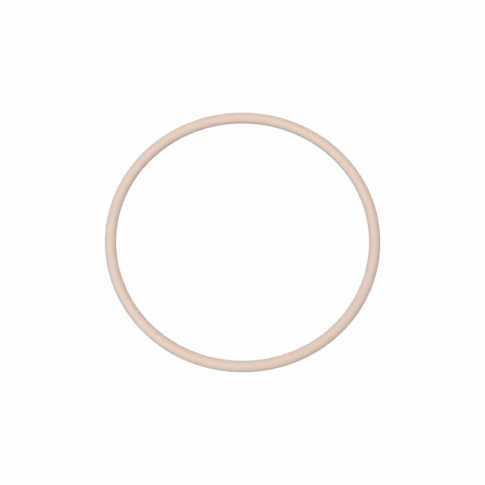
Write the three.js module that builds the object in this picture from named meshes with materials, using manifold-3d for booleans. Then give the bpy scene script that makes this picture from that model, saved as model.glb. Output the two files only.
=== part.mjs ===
// Rhythmic hoop: a straight plastic tube bent into a circle, its two ends butted over a
// curved plug inside the bore and held to it by four countersunk pins in the inner wall.
// Millimetres. +Z is the hoop's axis, the origin is the centre of the ring, the seam is at -Y.

import * as THREE from "three";
import { mergeVertices } from "three/addons/utils/BufferGeometryUtils.js";
import Module from "manifold-3d";

// The tube
const hoopDiameter = 600; // outside, over the tube
const tubeDiameter = 24.2;
const tubeWall = 2;
const seamGap = 0.3; // between the two square-cut ends
const endBevel = 0.4; // deburred outer edge of each end

// The plug inside the joint
const plugLength = 90; // along the hoop's centre line
const plugWall = 4;
const plugFitGap = 0.3; // all round, between plug and bore
const leadInLength = 3; // tapered nose at each end
const leadInDepth = 1;

// The pins, two on each side of the seam
const pinLength = 5.5;
const pinShankDiameter = 1.8;
const pinHeadDiameter = 4.8;
const pinHeadDepth = 1.2; // height of the countersunk cone
const pinHeadEdge = 0.2; // straight rim above the cone
const pinTipLength = 0.8;
const pinRingCount = 3; // barbed rings on the shank
const pinRingHeight = 0.15;
const pinFitGap = 0.3; // all round, between a pin and its hole
const pinHeadSink = 0.3; // head top below the inner wall's innermost line
const pinSeamInset = 15; // from the seam to the nearer pin
const pinEndInset = 12; // from the plug's end to the farther pin

// Facets
const ringSteps = 96; // a multiple of 4, so a step falls on each axis
const shortestFacet = 0.5; // a step nearer than this to an end is left out
const sectionSides = 18; // 2 more than a multiple of 4, so the top and bottom are flat
const pinSides = 12;

// Worked out from the above
const ringRadius = (hoopDiameter - tubeDiameter) / 2; // to the tube's centre line
const tubeRadius = tubeDiameter / 2;
const boreRadius = tubeRadius - tubeWall;
const plugRadius = boreRadius - plugFitGap;
const tubeLength = 2 * Math.PI * ringRadius - seamGap;
const stepLength = (2 * Math.PI * ringRadius) / ringSteps;
const seamAngle = -Math.PI / 2;
const flatStretch = 1 / Math.cos(Math.PI / sectionSides); // puts the flats at the full tube height
const shankRadius = pinShankDiameter / 2;
const headRadius = pinHeadDiameter / 2;
const headTop = tubeRadius - pinHeadSink; // heights along a pin, from the tube's centre line
const coneTop = headTop - pinHeadEdge;
const coneBottom = coneTop - pinHeadDepth;

const wasm = await Module();
wasm.setup();

function point(radius, along) {
  return new THREE.Vector2(radius, along);
}

function solidOf(geometry) {
  const bare = geometry.clone().deleteAttribute("normal").deleteAttribute("uv");
  const merged = mergeVertices(bare, 1e-3);
  return new wasm.Manifold(
    new wasm.Mesh({
      numProp: 3,
      vertProperties: merged.attributes.position.array,
      triVerts: new Uint32Array(merged.index.array),
    }),
  );
}

function geometryOf(solid) {
  const { vertProperties, triVerts } = solid.getMesh();
  const indexed = new THREE.BufferGeometry();
  indexed.setAttribute("position", new THREE.BufferAttribute(vertProperties, 3));
  indexed.setIndex(new THREE.BufferAttribute(triVerts, 1));
  const geometry = indexed.toNonIndexed();
  geometry.computeVertexNormals();
  return geometry;
}

// The ring's own steps that lie between two places along the tube, counted from its middle.
function stepsBetween(from, to) {
  const steps = [];
  for (let k = -ringSteps / 2; k <= ringSteps / 2; k++) {
    const along = k * stepLength;
    if (along > from + shortestFacet && along < to - shortestFacet) steps.push(along);
  }
  return steps;
}

// A turned sleeve, straight along Y: its outside runs from one end to the other between
// two noses, and its bore runs back.
function straightSleeve(length, outerRadius, innerRadius, noseLength, noseDepth) {
  const end = length / 2;
  const shoulder = end - noseLength;
  const outside = [
    point(outerRadius - noseDepth, -end),
    point(outerRadius, -shoulder),
    ...stepsBetween(-shoulder, shoulder).map((along) => point(outerRadius, along)),
    point(outerRadius, shoulder),
    point(outerRadius - noseDepth, end),
  ];
  const bore = [
    point(innerRadius, end),
    ...stepsBetween(-end, end).reverse().map((along) => point(innerRadius, along)),
    point(innerRadius, -end),
  ];
  return new THREE.LatheGeometry([...outside, ...bore, outside[0]], sectionSides);
}

// Bends a straight piece round the ring: its length along Y becomes the arc about middleAngle.
function bend(geometry, middleAngle) {
  const position = geometry.getAttribute("position");
  for (let i = 0; i < position.count; i++) {
    const angle = middleAngle + position.getY(i) / ringRadius;
    const radius = ringRadius + position.getZ(i);
    const height = -position.getX(i) * flatStretch;
    position.setXYZ(i, radius * Math.cos(angle), radius * Math.sin(angle), height);
  }
  return geometry;
}

// How far each pin is from the seam, along the centre line.
function pinPlaces() {
  const far = plugLength / 2 - pinEndInset;
  return [-far, -pinSeamInset, pinSeamInset, far];
}

// Stands a piece that points along +Y in the inner wall, its Y = 0 on the centre line.
function placeInInnerWall(object, along) {
  const turned = new THREE.Group();
  turned.rotation.z = seamAngle + along / ringRadius;
  object.position.x = ringRadius;
  object.rotation.z = Math.PI / 2;
  turned.add(object);
  return turned;
}

function pinGeometry() {
  const tip = headTop - pinLength;
  const shankEnd = tip + pinTipLength;
  const ringPitch = (coneBottom - shankEnd) / (pinRingCount + 1);
  const profile = [point(0, tip), point(shankRadius, shankEnd)];
  for (let ring = 1; ring <= pinRingCount; ring++) {
    const foot = shankEnd + ring * ringPitch;
    profile.push(point(shankRadius, foot - ringPitch / 2));
    profile.push(point(shankRadius + pinRingHeight, foot));
    profile.push(point(shankRadius, foot + pinRingHeight / 2));
  }
  profile.push(point(shankRadius, coneBottom));
  profile.push(point(headRadius, coneTop));
  profile.push(point(headRadius, headTop));
  profile.push(point(0, headTop));
  return new THREE.LatheGeometry(profile, pinSides);
}

// The drilled and countersunk hole of one pin, from the centre line out past the inner wall.
function holeSolid(along) {
  const drill = shankRadius + pinRingHeight + pinFitGap;
  const sink = headRadius + pinFitGap;
  const outside = tubeRadius + pinFitGap;
  const profile = [
    point(0, 0),
    point(drill, 0),
    point(drill, coneBottom - pinFitGap),
    point(sink, coneTop - pinFitGap),
    point(sink, outside),
    point(0, outside),
  ];
  const drillBit = new THREE.Mesh(new THREE.LatheGeometry(profile, pinSides));
  placeInInnerWall(drillBit, along).updateMatrixWorld(true);
  return solidOf(drillBit.geometry.applyMatrix4(drillBit.matrixWorld));
}

function drilled(geometry) {
  return pinPlaces().reduce((solid, along) => solid.subtract(holeSolid(along)), solidOf(geometry));
}

function tubeMesh() {
  const straight = straightSleeve(tubeLength, tubeRadius, boreRadius, endBevel, endBevel);
  const material = new THREE.MeshStandardMaterial({ color: 0xe8d0be, roughness: 0.45, metalness: 0 });
  const mesh = new THREE.Mesh(geometryOf(drilled(bend(straight, seamAngle + Math.PI))), material);
  mesh.name = "tube";
  return mesh;
}

function plugMesh() {
  const boredRadius = plugRadius - plugWall;
  const straight = straightSleeve(plugLength, plugRadius, boredRadius, leadInLength, leadInDepth);
  const material = new THREE.MeshStandardMaterial({ color: 0xd8d4cb, roughness: 0.55, metalness: 0 });
  const mesh = new THREE.Mesh(geometryOf(drilled(bend(straight, seamAngle))), material);
  mesh.name = "joint_plug";
  return mesh;
}

function pinMesh(along, index) {
  const material = new THREE.MeshStandardMaterial({ color: 0xb9bab7, roughness: 0.35, metalness: 1 });
  const mesh = new THREE.Mesh(pinGeometry(), material);
  mesh.name = "lock_pin_" + (index + 1);
  return placeInInnerWall(mesh, along);
}

const hoop = new THREE.Group();
hoop.add(tubeMesh(), plugMesh(), ...pinPlaces().map(pinMesh));

export default hoop;
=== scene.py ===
import math

import bpy
from mathutils import Matrix, Vector


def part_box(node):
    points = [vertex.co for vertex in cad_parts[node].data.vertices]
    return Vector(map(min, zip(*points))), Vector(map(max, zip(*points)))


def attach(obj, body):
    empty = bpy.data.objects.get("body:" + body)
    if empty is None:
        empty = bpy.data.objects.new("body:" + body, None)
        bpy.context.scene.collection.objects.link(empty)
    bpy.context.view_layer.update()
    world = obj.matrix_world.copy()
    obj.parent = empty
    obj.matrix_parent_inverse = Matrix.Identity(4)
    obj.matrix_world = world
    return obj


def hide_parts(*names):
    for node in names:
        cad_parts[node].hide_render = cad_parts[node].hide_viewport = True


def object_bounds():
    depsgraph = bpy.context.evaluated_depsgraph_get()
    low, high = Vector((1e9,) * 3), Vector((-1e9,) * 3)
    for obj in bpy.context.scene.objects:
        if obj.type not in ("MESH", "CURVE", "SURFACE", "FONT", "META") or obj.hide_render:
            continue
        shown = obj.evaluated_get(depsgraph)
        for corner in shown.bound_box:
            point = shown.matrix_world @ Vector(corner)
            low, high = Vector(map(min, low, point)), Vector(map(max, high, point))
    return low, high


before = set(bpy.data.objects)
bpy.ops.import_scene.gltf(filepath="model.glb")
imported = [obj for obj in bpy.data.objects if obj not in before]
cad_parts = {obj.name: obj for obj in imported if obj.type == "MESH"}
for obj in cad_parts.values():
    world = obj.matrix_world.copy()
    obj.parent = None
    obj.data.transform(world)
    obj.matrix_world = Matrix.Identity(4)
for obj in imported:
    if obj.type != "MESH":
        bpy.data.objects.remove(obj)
cadLow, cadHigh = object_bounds()
mm = 0.001
tubeRadius = (cadHigh.z - cadLow.z) / 2
ringRadius = (cadHigh.x - cadLow.x) / 2 - tubeRadius  # to the tube's centre line
ringLength = 2 * math.pi * ringRadius
seamAngle = -math.pi / 2
pinNodes = sorted(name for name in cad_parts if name.startswith("lock_pin_"))
bakeMap = "OFBake"  # the flat map that the tube's skin and the pin holes are laid out in
print("frame loaded: ring radius", round(ringRadius / mm, 2), "mm")
print("tube radius", round(tubeRadius / mm, 2), "mm")


# A place on the bent tube: arc runs along its centre line from the seam, across points away
# from the hoop's axis, up points along it.
def onRing(arc, across, up):
    angle = seamAngle + arc / ringRadius
    radius = ringRadius + across
    return Vector((radius * math.cos(angle), radius * math.sin(angle), up))


# The nearest way round from the seam.
def fromSeam(arc):
    return min(arc % ringLength, -arc % ringLength)


# 0 below start, 1 above end, with a soft step between.
def softStep(value, start, end):
    share = min(max((value - start) / (end - start), 0), 1)
    return share * share * (3 - 2 * share)


def pinArc(node):
    low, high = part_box(node)
    middle = (low + high) / 2
    return (math.atan2(middle.y, middle.x) - seamAngle) * ringRadius


def linkObject(name, data):
    piece = bpy.data.objects.new(name, data)
    bpy.context.collection.objects.link(piece)
    return piece


def meshFrom(name, points, faces):
    mesh = bpy.data.meshes.new(name)
    mesh.from_pydata(points, [], faces)
    mesh.update()
    return mesh


# Smooth faces, with a crease wherever two of them meet more sharply than this.
def shadeSmooth(mesh, creaseDegrees):
    mesh.polygons.foreach_set("use_smooth", [True] * len(mesh.polygons))
    mesh.set_sharp_from_angle(angle=math.radians(creaseDegrees))


# A rounded edge as (along, inset) steps: from the end face, inset by the size, out to the side.
def roundedEdge(size, steps):
    turns = [math.pi / 2 * step / steps for step in range(steps + 1)]
    return [(size * (1 - math.cos(turn)), size * (1 - math.sin(turn))) for turn in turns]


# Stops from start to end, spaced by what stepAt says for each place.
def stopsAlong(start, end, stepAt):
    stops = [start]
    while stops[-1] < end:
        stops.append(stops[-1] + stepAt(stops[-1]))
    scale = (end - start) / (stops[-1] - start)
    return [start + (stop - start) * scale for stop in stops]


# Skins sections, each a ring of points, into one hollow body: the last joins back to the first.
def skinSections(name, sections):
    rows, sides = len(sections), len(sections[0])
    points = [point for section in sections for point in section]
    faces = []
    for row in range(rows):
        here, after = row * sides, (row + 1) % rows * sides
        for side in range(sides):
            beside = (side + 1) % sides
            faces.append((here + side, here + beside, after + beside, after + side))
    return meshFrom(name, points, faces)


# Spins a profile of (radius, height) points, which starts and ends on the axis, round local Z.
def spinProfile(name, profile, sides):
    rings = profile[1:-1]
    points = [(0, 0, profile[0][1]), (0, 0, profile[-1][1])]
    for radius, height in rings:
        for side in range(sides):
            turn = 2 * math.pi * side / sides
            points.append((radius * math.cos(turn), radius * math.sin(turn), height))
    faces = []
    top = 2 + (len(rings) - 1) * sides
    for side in range(sides):
        beside = (side + 1) % sides
        faces.append((0, 2 + beside, 2 + side))
        faces.append((1, top + side, top + beside))
    for ring in range(len(rings) - 1):
        here, above = 2 + ring * sides, 2 + (ring + 1) * sides
        for side in range(sides):
            beside = (side + 1) % sides
            faces.append((here + side, here + beside, above + beside, above + side))
    return meshFrom(name, points, faces)


tube = {
    "wall": 2.0 * mm,
    "seamGap": 0.05 * mm,  # the two ends nearly touch
    "lip": 0.2 * mm,  # rounding of each end's outer edge
    "boreLip": 0.2 * mm,
    "lipSteps": 4,
    "boreLipSteps": 2,
    "sides": 56,
    "step": 2.5 * mm,
    "jointStep": 1.0 * mm,  # over the plug
    "jointReach": 50 * mm,
    "boreStep": 9 * mm,
    "boreJointStep": 2 * mm,
    "oval": 0.06 * mm,  # the bend leaves the section this much wider than high
    "waver": [(2, 0.16 * mm, 0.7), (3, 0.12 * mm, 2.1), (5, 0.06 * mm, 4.0)],  # lobes, size, phase
    "waverFrom": 70 * mm,  # a true circle up to here on each side of the seam
    "waverFull": 260 * mm,
    "creaseDegrees": 32,
}
boreRadius = tubeRadius - tube["wall"]


# How far the bend strays outwards from a true circle.
def strayAt(arc):
    share = softStep(fromSeam(arc), tube["waverFrom"], tube["waverFull"])
    turn = arc / ringRadius
    return share * sum(size * math.sin(lobes * turn + phase) for lobes, size, phase in tube["waver"])


def tubeStep(arc):
    return tube["jointStep"] if fromSeam(arc) < tube["jointReach"] else tube["step"]


def boreStep(arc):
    return tube["boreJointStep"] if fromSeam(arc) < tube["jointReach"] else tube["boreStep"]


# The tube's (arc, radius) outline cut lengthwise: the outside with both ends, then the bore.
def tubeOutline():
    start, end = tube["seamGap"] / 2, ringLength - tube["seamGap"] / 2
    lip = roundedEdge(tube["lip"], tube["lipSteps"])
    boreLip = roundedEdge(tube["boreLip"], tube["boreLipSteps"])[:-1]
    outside = [(start + along, boreRadius + inset) for along, inset in reversed(boreLip)]
    outside += [(start + along, tubeRadius - inset) for along, inset in lip]
    body = stopsAlong(start + tube["lip"], end - tube["lip"], tubeStep)
    outside += [(arc, tubeRadius) for arc in body[1:-1]]
    outside += [(end - along, tubeRadius - inset) for along, inset in reversed(lip)]
    outside += [(end - along, boreRadius + inset) for along, inset in boreLip]
    bore = stopsAlong(start + tube["boreLip"], end - tube["boreLip"], boreStep)
    return outside, [(arc, boreRadius) for arc in reversed(bore)]


def tubeSection(arc, radius):
    stray = strayAt(arc)
    section = []
    for side in range(tube["sides"]):
        turn = 2 * math.pi * side / tube["sides"] - math.pi / 2  # starts at the floor line
        across = (radius + tube["oval"] / 2) * math.cos(turn)
        section.append(onRing(arc, across + stray, radius * math.sin(turn)))
    return section


flat = {
    "strips": 5,  # the outside lies in this many strips, one above the other
    "outsideShare": 0.92,
    "boreShare": 0.05,  # the rest is for the pin holes
    "edge": 0.006,
    "stripEdge": 0.02,
    "holeEdge": 0.05,
    "holeLow": 0.1,
    "holeHeight": 0.8,
}


def setMap(mesh, placeOf):
    layer = mesh.uv_layers.new(name=bakeMap)
    for face in mesh.polygons:
        for corner, place in zip(face.loop_indices, placeOf(face.index)):
            layer.data[corner].uv = place


# Lays the tube's skin flat: the outside in strips from the floor line round, the bore above.
def layTubeFlat(mesh, outline, outsideRows):
    sides, rows = tube["sides"], len(outline)
    lengths = [0]
    for row in range(rows):
        lengths.append(lengths[-1] + math.dist(outline[row], outline[(row + 1) % rows]))
    outsideLength = lengths[outsideRows - 1]
    stripHeight = flat["outsideShare"] / flat["strips"]

    def placeOf(index):
        row, side = divmod(index, sides)
        outside = row < outsideRows - 1
        if outside:
            span, start, base, height = outsideLength / flat["strips"], 0, 0, stripHeight
            strip = min(int((lengths[row] + lengths[row + 1]) / 2 / span), flat["strips"] - 1)
        else:
            span, start = lengths[-1] - outsideLength, outsideLength
            base, height, strip = flat["outsideShare"], flat["boreShare"], 0
        places = []
        for corner, around in ((row, side), (row, side + 1), (row + 1, side + 1), (row + 1, side)):
            share = (lengths[corner] - start) / span - strip
            across = flat["edge"] + (1 - 2 * flat["edge"]) * share
            up = flat["stripEdge"] + (1 - 2 * flat["stripEdge"]) * around / sides
            places.append((across, base + (strip + up) * height))
        return places

    setMap(mesh, placeOf)


pin = {
    "length": 5.5 * mm,
    "shank": 0.9 * mm,
    "head": 2.4 * mm,
    "headCone": 1.2 * mm,
    "headEdge": 0.2 * mm,
    "headSink": 0.3 * mm,  # below the innermost line of the wall
    "headRounding": 0.4,  # share of the head's edge
    "roundingSteps": 3,
    "dome": 0.1 * mm,
    "domeStops": (0.75, 0.5, 0.3),  # shares of the head's radius
    "dimple": 0.35 * mm,
    "dimpleFloor": 0.6,  # share of the dimple's radius
    "neck": 0.12,  # share of the head's cone
    "barbs": 4,
    "barbHeight": 0.15 * mm,
    "barbFoot": 0.45,  # shares of a barb's pitch: where it starts, crests and ends
    "barbCrest": 0.06,
    "barbBack": 0.12,
    "tip": 0.8 * mm,
    "tipBlunt": 0.15,  # share of the shank's radius
    "sides": 40,
    "fit": 0.05 * mm,  # all round, between a pin and its hole
    "creaseDegrees": 40,
}
headTop = tubeRadius - pin["headSink"]  # heights along a pin are from the tube's centre line
coneTop = headTop - pin["headEdge"]
coneBottom = coneTop - pin["headCone"]


# Where a pin stands: local Z runs from the tube's centre line through its inner wall.
def pinFrame(node):
    angle = seamAngle + pinArc(node) / ringRadius
    outwards = Vector((math.cos(angle), math.sin(angle), 0))
    along = Vector((-math.sin(angle), math.cos(angle), 0))
    turned = Matrix((along, Vector((0, 0, -1)), -outwards)).transposed().to_4x4()
    return Matrix.Translation(onRing(pinArc(node), 0, 0)) @ turned


# The drilled and countersunk holes of all the pins, as one cutting body.
def makeHoles():
    drill = pin["shank"] + pin["barbHeight"] + pin["fit"]
    sink = pin["head"] + pin["fit"]
    outside = tubeRadius + pin["head"]
    profile = [
        (0, 0),
        (drill, 0),
        (drill, coneBottom - pin["fit"]),
        (sink, coneTop - pin["fit"]),
        (sink, outside),
        (0, outside),
    ]
    single = spinProfile("pinHole", profile, pin["sides"])
    points, faces = [], []
    for node in pinNodes:
        start, matrix = len(points), pinFrame(node)
        points += [matrix @ vertex.co for vertex in single.vertices]
        faces += [[start + corner for corner in face.vertices] for face in single.polygons]
    bpy.data.meshes.remove(single)
    holes = meshFrom("pinHoles", points, faces)
    base = flat["outsideShare"] + flat["boreShare"]
    height = 1 - base

    def placeOf(index):
        face = holes.polygons[index]
        copy = index * len(pinNodes) // len(holes.polygons)
        matrix = pinFrame(pinNodes[copy]).inverted()
        spots = [matrix @ holes.vertices[corner].co for corner in face.vertices]
        turns = [math.atan2(spot.y, spot.x) / (2 * math.pi) + 0.5 for spot in spots]
        places = []
        for spot, turn in zip(spots, turns):
            if max(turns) - turn > 0.5:  # the face spans the place where a turn starts again
                turn += 1
            along = flat["holeEdge"] + (1 - 2 * flat["holeEdge"]) * turn
            across = (copy + along) / len(pinNodes)
            up = flat["holeLow"] + flat["holeHeight"] * spot.z / outside
            places.append((across, base + height * up))
        return places

    setMap(holes, placeOf)
    return linkObject("pinHoles", holes)


# Cuts the pin holes out of a mesh and gives back the cut mesh.
def drillHoles(mesh, holes):
    blank = linkObject("blank", mesh)
    cut = blank.modifiers.new("holes", "BOOLEAN")
    cut.operation = "DIFFERENCE"
    cut.solver = "EXACT"
    cut.object = holes
    bpy.context.view_layer.update()
    evaluated = blank.evaluated_get(bpy.context.evaluated_depsgraph_get())
    drilled = bpy.data.meshes.new_from_object(evaluated)
    if not mesh.uv_layers:
        drilled.uv_layers.remove(drilled.uv_layers[bakeMap])
    bpy.data.objects.remove(blank)
    bpy.data.meshes.remove(mesh)
    return drilled


def makeTube(holes):
    outside, bore = tubeOutline()
    outline = outside + bore
    mesh = skinSections("tubeSkin", [tubeSection(arc, radius) for arc, radius in outline])
    layTubeFlat(mesh, outline, len(outside))
    mesh = drillHoles(mesh, holes)
    shadeSmooth(mesh, tube["creaseDegrees"])
    piece = linkObject("hoop_tube", mesh)
    print("tube made:", len(mesh.polygons), "faces")
    return piece


plug = {
    "length": 90 * mm,
    "gap": 0.3 * mm,  # to the bore, between the ribs
    "wall": 4 * mm,
    "noseLength": 3 * mm,
    "noseDepth": 1 * mm,
    "edge": 0.35 * mm,
    "edgeSteps": 3,
    "ribs": 8,
    "ribHeight": 0.22 * mm,
    "ribSharpness": 8,
    "ribEnd": 6 * mm,  # ribs run out this far from each end
    "sides": 96,
    "step": 1.5 * mm,
    "creaseDegrees": 40,
}


def makePlug(holes):
    half = plug["length"] / 2
    radius = boreRadius - plug["gap"]
    inner = radius - plug["wall"]
    nose = radius - plug["noseDepth"]
    edge = roundedEdge(plug["edge"], plug["edgeSteps"])
    shoulder = half - plug["noseLength"]
    body = stopsAlong(-shoulder, shoulder, lambda arc: plug["step"])
    outline = [(-half + along, inner + inset) for along, inset in reversed(edge[:-1])]
    outline += [(-half + along, nose - inset) for along, inset in edge]
    outline += [(arc, radius) for arc in body]
    outline += [(half - along, nose - inset) for along, inset in reversed(edge)]
    outline += [(half - along, inner + inset) for along, inset in edge[:-1]]
    bore = stopsAlong(-half + plug["edge"], half - plug["edge"], lambda arc: 2 * plug["step"])
    outline += [(arc, inner) for arc in reversed(bore)]

    def section(arc, wanted):
        ribbed = wanted == radius
        share = 1 - softStep(abs(arc), half - 2 * plug["ribEnd"], half - plug["ribEnd"])
        points = []
        for side in range(plug["sides"]):
            turn = 2 * math.pi * side / plug["sides"]
            rib = max(math.cos(plug["ribs"] * turn), 0) ** plug["ribSharpness"]
            reach = wanted + (plug["ribHeight"] * share * rib if ribbed else 0)
            points.append(onRing(arc, reach * math.cos(turn), reach * math.sin(turn)))
        return points

    mesh = skinSections("plugSkin", [section(arc, wanted) for arc, wanted in outline])
    mesh = drillHoles(mesh, holes)
    shadeSmooth(mesh, plug["creaseDegrees"])
    piece = linkObject("inner_plug", mesh)
    print("plug made:", len(mesh.polygons), "faces")
    return piece


def pinProfile():
    shank, head = pin["shank"], pin["head"]
    tip = headTop - pin["length"]
    shankEnd = tip + pin["tip"]
    pitch = (coneBottom - shankEnd) / (pin["barbs"] + 1)
    profile = [(0, tip), (shank * pin["tipBlunt"], tip + pin["tip"] * 0.08), (shank, shankEnd)]
    for barb in range(1, pin["barbs"] + 1):
        foot = shankEnd + barb * pitch
        profile.append((shank, foot - pitch * pin["barbFoot"]))
        profile.append((shank + pin["barbHeight"] * 0.9, foot - pitch * pin["barbCrest"]))
        profile.append((shank + pin["barbHeight"], foot))
        profile.append((shank, foot + pitch * pin["barbBack"]))
    neck = pin["headCone"] * pin["neck"]
    profile += [(shank, coneBottom - neck), (shank + neck, coneBottom + neck * 0.6)]
    rounding = pin["headEdge"] * pin["headRounding"]
    profile += [(head, coneTop), (head, headTop - rounding)]
    for inset, drop in roundedEdge(rounding, pin["roundingSteps"])[1:]:
        profile.append((head - inset, headTop - drop))
    for share in pin["domeStops"]:
        profile.append((head * share, headTop + pin["dome"] * (1 - share * share)))
    profile.append((pin["dimple"], headTop + pin["dome"]))
    profile.append((pin["dimple"] * pin["dimpleFloor"], headTop + pin["dome"] * 0.4))
    profile.append((0, headTop + pin["dome"] * 0.2))
    return profile


def makePins():
    mesh = spinProfile("pinBody", pinProfile(), pin["sides"])
    shadeSmooth(mesh, pin["creaseDegrees"])
    pieces = {}
    for number, node in enumerate(pinNodes, 1):
        pieces[node] = linkObject("countersunk_pin_" + str(number), mesh.copy())
        pieces[node].matrix_world = pinFrame(node)
    bpy.data.meshes.remove(mesh)
    print("pins made:", len(pieces))
    return pieces


holes = makeHoles()
hoopTube = makeTube(holes)
innerPlug = makePlug(holes)
pins = makePins()
bpy.data.objects.remove(holes)


# Adds a node, sets what settings name, and joins or fills each input, by its name or number.
def addNode(tree, kind, inputs=None, **settings):
    node = tree.nodes.new(kind)
    for name, value in settings.items():
        setattr(node, name, value)
    for name, value in (inputs or {}).items():
        if isinstance(value, bpy.types.NodeSocket):
            tree.links.new(value, node.inputs[name])
        else:
            node.inputs[name].default_value = value
    return node


def sums(tree, operation, *values, clamp=False):
    inputs = dict(enumerate(values))
    return addNode(tree, "ShaderNodeMath", inputs, operation=operation, use_clamp=clamp).outputs[0]


# A value's stretch from low to high made 0 to 1, with soft ends.
def ramp(tree, value, low, high):
    inputs = {"Value": value, "From Min": low, "From Max": high}
    node = addNode(tree, "ShaderNodeMapRange", inputs, interpolation_type="SMOOTHSTEP")
    return node.outputs["Result"]


def noise(tree, place, scale, detail=3.0, roughness=0.5):
    inputs = {"Vector": place, "Scale": scale, "Detail": detail, "Roughness": roughness}
    return addNode(tree, "ShaderNodeTexNoise", inputs).outputs["Fac"]


def scaled(tree, place, scale):
    inputs = {0: place, 1: scale}
    return addNode(tree, "ShaderNodeVectorMath", inputs, operation="MULTIPLY").outputs[0]


def mixColours(tree, share, first, second):
    node = addNode(tree, "ShaderNodeMix", {"Factor": share}, data_type="RGBA")
    for socket, value in ((node.inputs[6], first), (node.inputs[7], second)):
        if isinstance(value, bpy.types.NodeSocket):
            tree.links.new(value, socket)
        else:
            socket.default_value = (*value, 1)
    return node.outputs[2]


# Lays colours over a base, each where its mask says and by its share: (mask, share, colour).
def layered(tree, colour, layers):
    for mask, share, over in layers:
        colour = mixColours(tree, sums(tree, "MULTIPLY", mask, share), colour, over)
    return colour


# A start value with each (mask, size) added to it.
def addedUp(tree, start, layers):
    total = start
    for mask, size in layers:
        total = sums(tree, "MULTIPLY_ADD", mask, size, total)
    return total


def distanceFromAxis(tree, across, away):
    level = addNode(tree, "ShaderNodeCombineXYZ", {0: across, 1: away}).outputs[0]
    return addNode(tree, "ShaderNodeVectorMath", {0: level}, operation="LENGTH").outputs["Value"]


# Small dots, 1 inside and 0 outside, with an edge that runs between two distances.
def dots(tree, place, scale, edge):
    cells = {"Vector": place, "Scale": scale}
    distance = addNode(tree, "ShaderNodeTexVoronoi", cells).outputs["Distance"]
    return sums(tree, "SUBTRACT", 1.0, ramp(tree, distance, *edge))


# A new shader node group that takes a place and numbers, as {name: value}, and gives one output.
def newGroup(name, place, numbers, output, outputKind):
    group = bpy.data.node_groups.new(name, "ShaderNodeTree")
    group.interface.new_socket(place, in_out="INPUT", socket_type="NodeSocketVector")
    for label, value in numbers.items():
        socket = group.interface.new_socket(label, in_out="INPUT", socket_type="NodeSocketFloat")
        socket.default_value = value
    socketType = "NodeSocket" + outputKind
    group.interface.new_socket(output, in_out="OUTPUT", socket_type=socketType)
    given = group.nodes.new("NodeGroupInput").outputs
    return group, given, group.nodes.new("NodeGroupOutput").inputs[0]


# Where a point of the bent tube would lie if the tube were straight: across, up and along.
def straightenedGroup():
    numbers = {"Ring Radius": ringRadius}
    group, given, result = newGroup("straightenedTube", "Position", numbers, "Place", "Vector")
    split = addNode(group, "ShaderNodeSeparateXYZ", {0: given["Position"]}).outputs
    turn = sums(group, "ARCTAN2", split[0], split[1])
    along = sums(group, "MULTIPLY", turn, given["Ring Radius"])
    reach = distanceFromAxis(group, split[0], split[1])
    across = sums(group, "SUBTRACT", reach, given["Ring Radius"])
    place = addNode(group, "ShaderNodeCombineXYZ", {0: across, 1: split[2], 2: along}).outputs[0]
    group.links.new(place, result)
    return group


clouds = {"perMetre": 12.0, "closer": 5.3, "broadShare": 0.7, "closeShare": 0.3, "edge": (0.32, 0.68)}


# Slow clouds in a plastic's tint or a metal's plating, from 0 to 1.
def cloudsGroup():
    numbers = {"Per Metre": clouds["perMetre"]}
    group, given, result = newGroup("slowClouds", "Place", numbers, "Clouds", "Float")
    broad = noise(group, given["Place"], given["Per Metre"], 2.0)
    closeScale = sums(group, "MULTIPLY", given["Per Metre"], clouds["closer"])
    close = noise(group, given["Place"], closeScale, 3.0)
    both = addedUp(group, 0.0, [(broad, clouds["broadShare"]), (close, clouds["closeShare"])])
    group.links.new(ramp(group, both, *clouds["edge"]), result)
    return group


grain = {"perMetre": 900.0, "pitScale": 0.6, "fineShare": 0.6, "pitShare": 0.4, "edge": (0.05, 0.35)}


# The fine pitting that a die or mould leaves, as a height from 0 to 1.
def grainGroup():
    numbers = {"Per Metre": grain["perMetre"]}
    group, given, result = newGroup("mouldedGrain", "Place", numbers, "Height", "Float")
    fine = noise(group, given["Place"], given["Per Metre"], 2.0, 0.6)
    pitScale = sums(group, "MULTIPLY", given["Per Metre"], grain["pitScale"])
    cells = {"Vector": given["Place"], "Scale": pitScale}
    distance = addNode(group, "ShaderNodeTexVoronoi", cells).outputs["Distance"]
    pits = ramp(group, distance, *grain["edge"])
    both = addedUp(group, 0.0, [(fine, grain["fineShare"]), (pits, grain["pitShare"])])
    group.links.new(both, result)
    return group


scuffing = {
    "perMetre": 60.0,
    "share": 0.3,
    "webs": ((0.5, 1.0), (1.9, 2.3)),  # turn and size of each web of lines
    "lineWidth": 0.03,
    "patchScale": 0.45,
    "patchEdge": (0.8, 1.0),
}


# Hairline rubs, broken up so that few run far, from 0 to 1.
def scuffsGroup():
    numbers = {"Per Metre": scuffing["perMetre"], "Share": scuffing["share"]}
    group, given, result = newGroup("hairlineScuffs", "Place", numbers, "Scuffs", "Float")
    bend = {0: given["Place"], 1: noise(group, given["Place"], given["Per Metre"], 1.0)}
    swept = addNode(group, "ShaderNodeVectorMath", bend, operation="ADD").outputs[0]
    lines = []
    for turn, size in scuffing["webs"]:
        turned = addNode(group, "ShaderNodeVectorRotate", {"Vector": swept, "Angle": turn}).outputs[0]
        cells = {"Vector": turned, "Scale": sums(group, "MULTIPLY", given["Per Metre"], size)}
        web = addNode(group, "ShaderNodeTexVoronoi", cells, feature="DISTANCE_TO_EDGE")
        away = ramp(group, web.outputs["Distance"], 0.0, scuffing["lineWidth"])
        lines.append(sums(group, "SUBTRACT", 1.0, away))
    patchScale = sums(group, "MULTIPLY", given["Per Metre"], scuffing["patchScale"])
    patches = noise(group, given["Place"], patchScale, 2.0)
    where = sums(group, "ADD", patches, given["Share"])
    where = ramp(group, where, *scuffing["patchEdge"])
    marks = sums(group, "MULTIPLY", sums(group, "MAXIMUM", *lines), where, clamp=True)
    group.links.new(marks, result)
    return group


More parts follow.
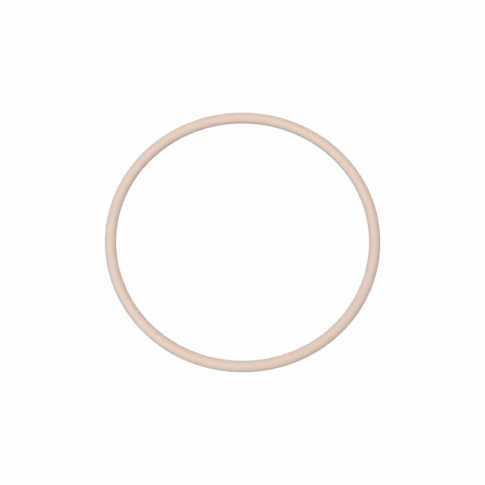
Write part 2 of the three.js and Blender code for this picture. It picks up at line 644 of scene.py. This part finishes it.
dusting = {
    "perMetre": 400.0,
    "upwardEdge": (0.2, 1.0),
    "filmScale": 0.06,
    "filmEdge": (0.35, 0.75),
    "filmShare": 0.6,
    "spotEdge": (0.05, 0.16),
    "spotShare": 0.5,
}


# Dust that has settled on whatever faces up, from 0 to 1.
def dustGroup():
    numbers = {"Per Metre": dusting["perMetre"]}
    group, given, result = newGroup("settledDust", "Place", numbers, "Dust", "Float")
    normal = addNode(group, "ShaderNodeNewGeometry").outputs["Normal"]
    upward = addNode(group, "ShaderNodeSeparateXYZ", {0: normal}).outputs[2]
    upward = ramp(group, upward, *dusting["upwardEdge"])
    filmScale = sums(group, "MULTIPLY", given["Per Metre"], dusting["filmScale"])
    film = ramp(group, noise(group, given["Place"], filmScale, 4.0), *dusting["filmEdge"])
    spots = dots(group, given["Place"], given["Per Metre"], dusting["spotEdge"])
    film = sums(group, "MULTIPLY", film, dusting["filmShare"])
    spots = sums(group, "MULTIPLY", spots, dusting["spotShare"])
    both = sums(group, "ADD", film, spots, clamp=True)
    group.links.new(sums(group, "MULTIPLY", both, upward), result)
    return group


groups = {
    "straightened": straightenedGroup(),
    "clouds": cloudsGroup(),
    "grain": grainGroup(),
    "scuffs": scuffsGroup(),
    "dust": dustGroup(),
}


# Puts a shared group into a material: per_metre=11.0 sets or joins its input "Per Metre".
def useGroup(tree, name, **inputs):
    named = {label.replace("_", " ").title(): value for label, value in inputs.items()}
    return addNode(tree, "ShaderNodeGroup", named, node_tree=groups[name]).outputs[0]


def newMaterial(name):
    material = bpy.data.materials.new(name)
    material.use_nodes = True
    tree = material.node_tree
    place = addNode(tree, "ShaderNodeTexCoord").outputs["Object"]
    return material, tree, tree.nodes["Principled BSDF"], place


# Joins the finished surface to the shader. The height is in millimetres.
def finishSurface(tree, shader, colour, roughness, height, values):
    tree.links.new(colour, shader.inputs["Base Color"])
    tree.links.new(roughness, shader.inputs["Roughness"])
    bump = addNode(tree, "ShaderNodeBump", {"Distance": mm, "Strength": 1.0, "Height": height})
    tree.links.new(bump.outputs["Normal"], shader.inputs["Normal"])
    for name, value in values.items():
        shader.inputs[name].default_value = value


tubeFinish = {
    "colour": (0.885, 0.645, 0.50),
    "warmColour": (0.86, 0.61, 0.462),
    "drawnColour": (0.895, 0.668, 0.525),
    "rubbedColour": (0.87, 0.75, 0.66),
    "speckColour": (0.50, 0.34, 0.24),
    "dustColour": (0.74, 0.72, 0.69),
    "roughness": 0.45,  # of the smoothest places
    "stretch": 0.012,  # scale of the draw marks along the tube, next to that across it
    "fineMarks": 1500.0,  # to a metre, like the next seven
    "broadMarks": 260.0,
    "clouds": 11.0,
    "grain": 1100.0,
    "scuffs": 70.0,
    "dust": 420.0,
    "specks": 330.0,
    "speckPatches": 90.0,
    "scuffStretch": 0.35,
    "wear": 0.34,
    "floorWear": 0.2,  # more on the outer side, which rolls on the floor
    "endFrom": 1.4 * mm,  # the rubbed ends at the seam
    "endFull": 0.3 * mm,
    "values": {
        "IOR": 1.51,
        "Sheen Weight": 0.85,
        "Sheen Roughness": 0.8,
        "Subsurface Weight": 0.12,
        "Subsurface Radius": (1.0, 0.62, 0.42),
        "Subsurface Scale": 3 * mm,
    },
}


def polyethylene():
    material, tree, shader, place = newMaterial("satinPolyethylene")
    finish = tubeFinish
    straight = useGroup(tree, "straightened", position=place, ring_radius=ringRadius)
    split = addNode(tree, "ShaderNodeSeparateXYZ", {0: straight}).outputs
    drawn = scaled(tree, straight, (1.0, 1.0, finish["stretch"]))
    fineMarks = noise(tree, drawn, finish["fineMarks"], 3.0, 0.6)
    broadMarks = noise(tree, drawn, finish["broadMarks"], 2.0)
    lines = ramp(tree, fineMarks, 0.52, 0.72)
    streaks = ramp(tree, broadMarks, 0.45, 0.75)
    tints = useGroup(tree, "clouds", place=straight, per_metre=finish["clouds"])
    pits = useGroup(tree, "grain", place=straight, per_metre=finish["grain"])
    rolledOn = ramp(tree, split[0], 0.5 * tubeRadius, tubeRadius)
    worn = sums(tree, "MULTIPLY_ADD", rolledOn, finish["floorWear"], finish["wear"])
    swept = scaled(tree, straight, (1.0, 1.0, finish["scuffStretch"]))
    scuffs = useGroup(tree, "scuffs", place=swept, per_metre=finish["scuffs"], share=worn)
    dust = useGroup(tree, "dust", place=place, per_metre=finish["dust"])
    patches = ramp(tree, noise(tree, straight, finish["speckPatches"], 1.0), 0.52, 0.62)
    specks = dots(tree, straight, finish["specks"], (0.05, 0.11))
    specks = sums(tree, "MULTIPLY", specks, patches)
    end = ringLength / 2
    fromTop = sums(tree, "ABSOLUTE", split[2])
    nearEnd = ramp(tree, fromTop, end - finish["endFrom"], end - finish["endFull"])
    colourLayers = [
        (tints, 0.45, finish["warmColour"]),
        (streaks, 0.4, finish["drawnColour"]),
        (lines, 0.25, finish["warmColour"]),
        (specks, 0.3, finish["speckColour"]),
        (scuffs, 0.22, finish["rubbedColour"]),
        (dust, 0.16, finish["dustColour"]),
        (nearEnd, 0.15, finish["rubbedColour"]),
    ]
    colour = layered(tree, finish["colour"], colourLayers)
    roughLayers = [(fineMarks, 0.10), (tints, 0.05), (scuffs, 0.14), (dust, 0.12)]
    roughness = addedUp(tree, finish["roughness"], roughLayers)
    heights = [(fineMarks, 0.024), (broadMarks, 0.06), (pits, 0.009), (scuffs, -0.012)]
    height = addedUp(tree, 0.0, heights)
    finishSurface(tree, shader, colour, roughness, height, finish["values"])
    return material


plugFinish = {
    "colour": (0.69, 0.66, 0.60),
    "agedColour": (0.64, 0.585, 0.50),
    "roughness": 0.42,
    "clouds": 45.0,  # to a metre
    "grain": 1600.0,
    "values": {"Subsurface Weight": 0.2, "Subsurface Scale": 3 * mm},
}


def polypropylene():
    material, tree, shader, place = newMaterial("naturalPolypropylene")
    finish = plugFinish
    straight = useGroup(tree, "straightened", position=place, ring_radius=ringRadius)
    tints = useGroup(tree, "clouds", place=straight, per_metre=finish["clouds"])
    pits = useGroup(tree, "grain", place=straight, per_metre=finish["grain"])
    colour = layered(tree, finish["colour"], [(tints, 0.6, finish["agedColour"])])
    roughness = addedUp(tree, finish["roughness"], [(pits, 0.16)])
    height = addedUp(tree, 0.0, [(pits, 0.02)])
    finishSurface(tree, shader, colour, roughness, height, finish["values"])
    return material


pinFinish = {
    "colour": (0.72, 0.72, 0.70),
    "dullColour": (0.55, 0.55, 0.54),
    "dustColour": (0.55, 0.53, 0.50),
    "roughness": 0.25,
    "turnedPitch": 0.11 * mm,
    "clouds": 500.0,  # to a metre
    "scuffs": 900.0,
    "wear": 0.4,
    "dust": 2500.0,
    "values": {"Metallic": 1.0},
}


def zincSteel():
    material, tree, shader, place = newMaterial("zincPlatedSteel")
    finish = pinFinish
    split = addNode(tree, "ShaderNodeSeparateXYZ", {0: place}).outputs
    reach = distanceFromAxis(tree, split[0], split[1])
    turns = sums(tree, "MULTIPLY", reach, 2 * math.pi / finish["turnedPitch"])
    rings = sums(tree, "MULTIPLY_ADD", sums(tree, "SINE", turns), 0.5, 0.5)
    tints = useGroup(tree, "clouds", place=place, per_metre=finish["clouds"])
    scuffs = useGroup(tree, "scuffs", place=place, per_metre=finish["scuffs"], share=finish["wear"])
    dust = useGroup(tree, "dust", place=place, per_metre=finish["dust"])
    colourLayers = [(tints, 0.7, finish["dullColour"]), (dust, 0.3, finish["dustColour"])]
    colour = layered(tree, finish["colour"], colourLayers)
    roughness = addedUp(tree, finish["roughness"], [(tints, 0.14), (scuffs, 0.12)])
    height = addedUp(tree, 0.0, [(rings, 0.004), (scuffs, -0.004)])
    finishSurface(tree, shader, colour, roughness, height, finish["values"])
    return material


def settle(piece, node, material):
    piece.data.materials.clear()
    piece.data.materials.append(material)
    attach(piece, "root")
    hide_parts(node)


settle(hoopTube, "tube", polyethylene())
settle(innerPlug, "joint_plug", polypropylene())
steel = zincSteel()
for node, piece in pins.items():
    settle(piece, node, steel)
print("finishes made:", len(bpy.data.materials), "materials,", len(groups), "shared groups")

floor = {"size": 14.0, "albedo": 0.22, "glow": 1.065, "shadowShare": 0.08}
white = (1, 1, 1, 1)


# One surface where the camera looks, another for the light that bounces.
def seenOr(tree, bounced, seen):
    cameraRay = addNode(tree, "ShaderNodeLightPath").outputs["Is Camera Ray"]
    return addNode(tree, "ShaderNodeMixShader", {"Fac": cameraRay, 1: bounced, 2: seen}).outputs[0]


# A white floor that takes only a trace of shadow where it is looked at, and throws light back.
def makeFloor():
    half = floor["size"] / 2
    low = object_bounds()[0].z
    corners = [(-half, -half, low), (half, -half, low), (half, half, low), (-half, half, low)]
    piece = linkObject("floor", meshFrom("floor", corners, [(0, 1, 2, 3)]))
    material = bpy.data.materials.new("whiteFloor")
    material.use_nodes = True
    tree = material.node_tree
    tree.nodes.clear()
    grey = (*[floor["albedo"]] * 3, 1)
    matt = addNode(tree, "ShaderNodeBsdfDiffuse", {"Color": grey}).outputs[0]
    light = {"Color": white, "Strength": floor["glow"]}
    glow = addNode(tree, "ShaderNodeEmission", light).outputs[0]
    shadow = {"Fac": floor["shadowShare"], 1: glow, 2: matt}
    looked = addNode(tree, "ShaderNodeMixShader", shadow).outputs[0]
    addNode(tree, "ShaderNodeOutputMaterial", {"Surface": seenOr(tree, matt, looked)})
    piece.data.materials.append(material)


view = {
    "elevation": 69.98,
    "distance": 3.1,
    "lens": 105.53,
    "sensor": 36,
    "aim": Vector((-0.2 * mm, -9.6 * mm, 0)),
}
viewTilt = math.radians(view["elevation"])
towardsCamera = Vector((0, -math.cos(viewTilt), math.sin(viewTilt)))
studio = {
    "sky": 0.33,
    "distance": 3.0,
    # name, degrees off the camera's line, degrees from above round to the left, sides, watts
    "softboxes": [
        ("upperLeftBox", 30, 42, 1.4, 1.2, 19.0),
        ("upperRightBox", 30, 318, 1.4, 1.2, 19.0),
        ("backFill", 60, 10, 1.6, 0.8, 11.0),
        ("leftFill", 60, 105, 1.2, 1.0, 14.0),
        ("frontFill", 60, 185, 1.4, 0.8, 16.0),
    ],
}


def makeSoftbox(name, offDegrees, roundDegrees, width, height, watts):
    above = Vector((0, math.sin(viewTilt), math.cos(viewTilt)))
    left = Vector((-1, 0, 0))
    off, turn = math.radians(offDegrees), math.radians(roundDegrees)
    side = above * math.cos(turn) + left * math.sin(turn)
    away = towardsCamera * math.cos(off) + side * math.sin(off)
    data = bpy.data.lights.new(name, "AREA")
    data.shape = "RECTANGLE"
    data.size = width
    data.size_y = height
    data.energy = watts
    lamp = linkObject(name, data)
    lamp.location = away * studio["distance"]
    lamp.rotation_euler = away.to_track_quat("Z", "Y").to_euler()
    lamp.visible_camera = False


# The world lights the hoop softly and shows as plain white.
def makeWorld():
    world = bpy.data.worlds.new("studioWorld")
    bpy.context.scene.world = world
    world.use_nodes = True
    tree = world.node_tree
    tree.nodes.clear()
    soft = {"Color": white, "Strength": studio["sky"]}
    light = addNode(tree, "ShaderNodeBackground", soft).outputs[0]
    plain = {"Color": white, "Strength": 1.0}
    seen = addNode(tree, "ShaderNodeBackground", plain).outputs[0]
    addNode(tree, "ShaderNodeOutputWorld", {"Surface": seenOr(tree, light, seen)})


def makeCamera():
    data = bpy.data.cameras.new("camera")
    data.lens = view["lens"]
    data.sensor_width = view["sensor"]
    camera = linkObject("camera", data)
    camera.location = towardsCamera * view["distance"]
    camera.rotation_euler = (camera.location - view["aim"]).to_track_quat("Z", "Y").to_euler()
    bpy.context.scene.camera = camera


makeFloor()
for softbox in studio["softboxes"]:
    makeSoftbox(*softbox)
makeWorld()
makeCamera()
bpy.context.scene.view_settings.view_transform = "Standard"
print("stage set")
